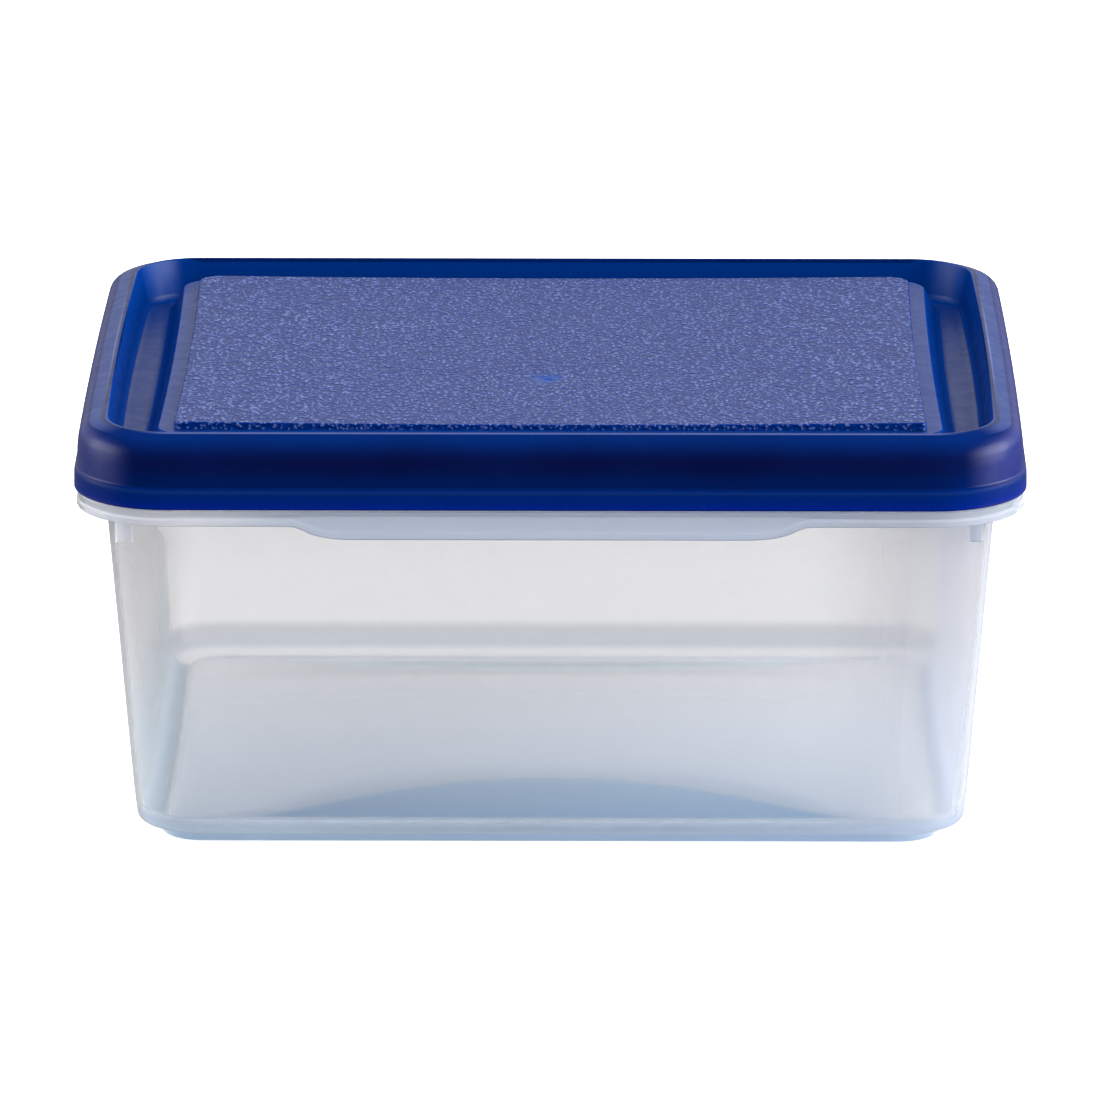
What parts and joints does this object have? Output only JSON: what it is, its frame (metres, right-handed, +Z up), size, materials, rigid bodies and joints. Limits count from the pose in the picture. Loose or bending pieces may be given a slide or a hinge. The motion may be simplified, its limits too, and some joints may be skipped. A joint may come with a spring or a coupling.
{
  "type": "snap lid food container",
  "caption": "Rectangular see-through food tub with a drafted wall and foot ring, closed by a solid-colour lid that snaps over the rim and has a raised grained pad.",
  "frame": {"origin": "centre of the footprint, on the surface the container stands on", "axes": "+Z up, +X along the long side, -Y is the front"},
  "size_m": [0.291, 0.2346, 0.1339],
  "materials": {
    "tub_plastic": "milky see-through moulded polypropylene",
    "lid_plastic": "navy moulded polyethylene, satin skirt, fine grain on the raised pad"
  },
  "bodies": {
    "tub": {"tub": "tub_plastic"},
    "lid": {"lid": "lid_plastic", "lid_snap_bead": "lid_plastic"}
  },
  "joints": [
    {"name": "lid_lift", "type": "slide", "parent": "tub", "child": "lid", "axis": [0, 0, 1], "range_m": [0, 0.06], "deforming": ["lid_snap_bead"]}
  ]
}
